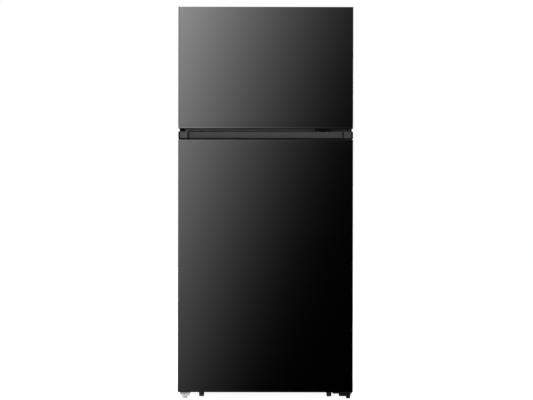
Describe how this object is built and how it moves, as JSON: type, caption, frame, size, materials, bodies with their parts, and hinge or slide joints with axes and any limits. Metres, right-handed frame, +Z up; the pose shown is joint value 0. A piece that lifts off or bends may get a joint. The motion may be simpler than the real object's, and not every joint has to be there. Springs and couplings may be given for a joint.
{
  "type": "top freezer refrigerator",
  "caption": "Free-standing refrigerator with a freezer on top, flat dark steel doors hinged on the right, recessed grips, shelves, crispers and door bins.",
  "frame": {"origin": "on the floor under the centre of the whole object", "axes": "+X to the right seen from the front, +Y from the doors to the back, +Z up"},
  "size_m": [0.76, 0.778, 1.7],
  "materials": {
    "black_stainless": "dark brushed steel with a satin tint coat",
    "cabinet_paint": "dark grey paint with a fine leather texture",
    "foam": "rigid polyurethane foam, matte",
    "galvanised_sheet": "galvanised steel, satin",
    "white_liner": "white vacuum-formed plastic, soft gloss",
    "white_plastic": "white moulded plastic, satin",
    "white_wire": "white coated steel wire",
    "rail_grey": "grey painted steel",
    "aluminium_fin": "bare aluminium fin stock",
    "black_plastic": "black moulded plastic",
    "cap_plastic": "dark grey moulded plastic, fine grain",
    "clear_glass": "clear tempered glass, green at the edge",
    "clear_plastic": "clear polystyrene",
    "lamp_lens": "opal plastic",
    "black_paint": "black enamel on steel",
    "copper_tube": "drawn copper",
    "black_tube": "black painted steel tube",
    "cover_board": "black painted sheet",
    "gland_rubber": "black rubber",
    "hinge_steel": "zinc plated steel",
    "hinge_black": "black enamel on thick steel",
    "zinc_plate": "bright zinc plate",
    "screw_steel": "plated steel",
    "roller_plastic": "black nylon",
    "dial_plastic": "grey moulded plastic",
    "gasket_rubber": "soft grey vinyl"
  },
  "bodies": {
    "cabinet": {"cabinet_shell": "cabinet_paint", "cabinet_foam": "foam", "back_panel": "galvanised_sheet", "floor_pan": "galvanised_sheet", "freezer_liner": "white_liner", "fridge_liner": "white_liner", "mullion_rail": "rail_grey", "air_tower": "white_plastic", "evaporator_cover": "white_plastic", "evaporator": "aluminium_fin", "evaporator_fan_motor": "black_plastic", "freezer_wire_shelf": "white_wire", "shelf_glass": "clear_glass", "shelf_frames": "white_plastic", "crisper_cover_frame": "white_plastic", "control_housing": "white_plastic", "lamp_covers": "lamp_lens", "compressor": "black_paint", "compressor_base": "galvanised_sheet", "condenser_coil": "black_tube", "condenser_fan_motor": "black_plastic", "drain_pan": "black_plastic", "refrigerant_lines": "copper_tube", "machine_cover": "cover_board", "cord_gland": "gland_rubber", "top_hinge": "hinge_steel", "top_hinge_cover": "cap_plastic", "centre_hinge": "hinge_black", "bottom_hinge": "hinge_black", "left_foot_bracket": "zinc_plate", "roller_brackets": "hinge_black", "screws": "screw_steel"},
    "evaporator_fan": {"evaporator_fan": "white_plastic"},
    "condenser_fan": {"condenser_fan": "black_plastic"},
    "temperature_dial": {"temperature_dial": "dial_plastic"},
    "airflow_slider": {"airflow_slider": "dial_plastic"},
    "crisper_left": {"crisper_left": "clear_plastic"},
    "crisper_right": {"crisper_right": "clear_plastic"},
    "left_levelling_foot": {"left_levelling_foot": "zinc_plate"},
    "right_levelling_foot": {"right_levelling_foot": "black_plastic"},
    "front_left_roller": {"front_left_roller": "roller_plastic"},
    "front_right_roller": {"front_right_roller": "roller_plastic"},
    "rear_left_roller": {"rear_left_roller": "roller_plastic"},
    "rear_right_roller": {"rear_right_roller": "roller_plastic"},
    "freezer_door": {"freezer_door_panel": "black_stainless", "freezer_door_top_cap": "cap_plastic", "freezer_door_bottom_cap": "cap_plastic", "freezer_door_liner": "white_liner", "freezer_door_foam": "foam", "freezer_door_gasket": "gasket_rubber", "freezer_door_bins": "clear_plastic"},
    "fridge_door": {"fridge_door_panel": "black_stainless", "fridge_door_top_cap": "cap_plastic", "fridge_door_bottom_cap": "cap_plastic", "fridge_door_liner": "white_liner", "fridge_door_foam": "foam", "fridge_door_gasket": "gasket_rubber", "fridge_bin_upper": "clear_plastic", "fridge_bin_middle": "clear_plastic", "fridge_bin_lower": "clear_plastic"}
  },
  "joints": [
    {"name": "freezer_door_swing", "type": "hinge", "parent": "cabinet", "child": "freezer_door", "pos_m": [0.358, -0.359, 1.44], "axis": [0, 0, 1], "range_deg": [0, 135]},
    {"name": "fridge_door_swing", "type": "hinge", "parent": "cabinet", "child": "fridge_door", "pos_m": [0.358, -0.359, 0.6], "axis": [0, 0, 1], "range_deg": [0, 135]},
    {"name": "crisper_left_slide", "type": "slide", "parent": "cabinet", "child": "crisper_left", "axis": [0, -1, 0], "range_m": [0, 0.25]},
    {"name": "crisper_right_slide", "type": "slide", "parent": "cabinet", "child": "crisper_right", "axis": [0, -1, 0], "range_m": [0, 0.25]},
    {"name": "temperature_dial_turn", "type": "hinge", "parent": "cabinet", "child": "temperature_dial", "pos_m": [-0.05, -0.15, 1.104], "axis": [0, 1, 0], "range_deg": [0, 270]},
    {"name": "airflow_slider_slide", "type": "slide", "parent": "cabinet", "child": "airflow_slider", "axis": [1, 0, 0], "range_m": [-0.02, 0.02]},
    {"name": "evaporator_fan_spin", "type": "hinge", "parent": "cabinet", "child": "evaporator_fan", "pos_m": [0, 0.27, 1.515], "axis": [0, 1, 0], "continuous": true},
    {"name": "condenser_fan_spin", "type": "hinge", "parent": "cabinet", "child": "condenser_fan", "pos_m": [0.165, 0.29, 0.154], "axis": [1, 0, 0], "continuous": true},
    {"name": "left_foot_turn", "type": "hinge", "parent": "cabinet", "child": "left_levelling_foot", "pos_m": [-0.35, -0.35, 0.015], "axis": [0, 0, 1], "continuous": true},
    {"name": "right_foot_turn", "type": "hinge", "parent": "cabinet", "child": "right_levelling_foot", "pos_m": [0.361, -0.35, 0.008], "axis": [0, 0, 1], "continuous": true},
    {"name": "front_left_roller_spin", "type": "hinge", "parent": "cabinet", "child": "front_left_roller", "pos_m": [-0.279, -0.3, 0.017], "axis": [1, 0, 0], "continuous": true},
    {"name": "front_right_roller_spin", "type": "hinge", "parent": "cabinet", "child": "front_right_roller", "pos_m": [0.279, -0.3, 0.017], "axis": [1, 0, 0], "continuous": true},
    {"name": "rear_left_roller_spin", "type": "hinge", "parent": "cabinet", "child": "rear_left_roller", "pos_m": [-0.3, 0.345, 0.0185], "axis": [1, 0, 0], "continuous": true},
    {"name": "rear_right_roller_spin", "type": "hinge", "parent": "cabinet", "child": "rear_right_roller", "pos_m": [0.3, 0.345, 0.0185], "axis": [1, 0, 0], "continuous": true}
  ],
  "couplings": [
    {"joint": "crisper_left_slide", "follows": "fridge_door_swing", "m_per_rad": 0.105},
    {"joint": "crisper_right_slide", "follows": "fridge_door_swing", "m_per_rad": 0.105}
  ]
}
